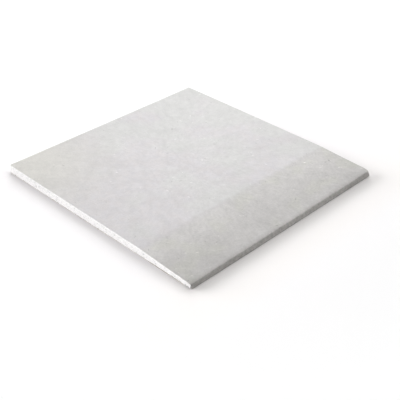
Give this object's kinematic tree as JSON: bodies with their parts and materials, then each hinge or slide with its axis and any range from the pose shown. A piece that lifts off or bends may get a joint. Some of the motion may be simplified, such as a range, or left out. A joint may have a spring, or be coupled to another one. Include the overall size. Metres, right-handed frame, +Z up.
{
  "type": "drywall sheet",
  "caption": "Cut square piece of tapered-edge gypsum board: set-gypsum core, face paper wrapped round one long edge, and back paper.",
  "frame": {"origin": "centre of the sheet in plan, on its underside, where the back paper lies on the floor", "axes": "+X across the sheet towards the tapered, paper-wrapped long edge; +Y along the sheet, parallel to that edge; +Z up out of the face"},
  "size_m": [0.3, 0.291, 0.0095],
  "materials": {
    "gypsum": "matt, chalky, finely pitted where cut",
    "face_paper": "matt light grey paper with fine mottled fibres",
    "back_paper": "matt grey-brown recycled paper"
  },
  "bodies": {
    "root": {"gypsum_core": "gypsum", "face_paper": "face_paper", "back_paper": "back_paper"}
  },
  "joints": []
}
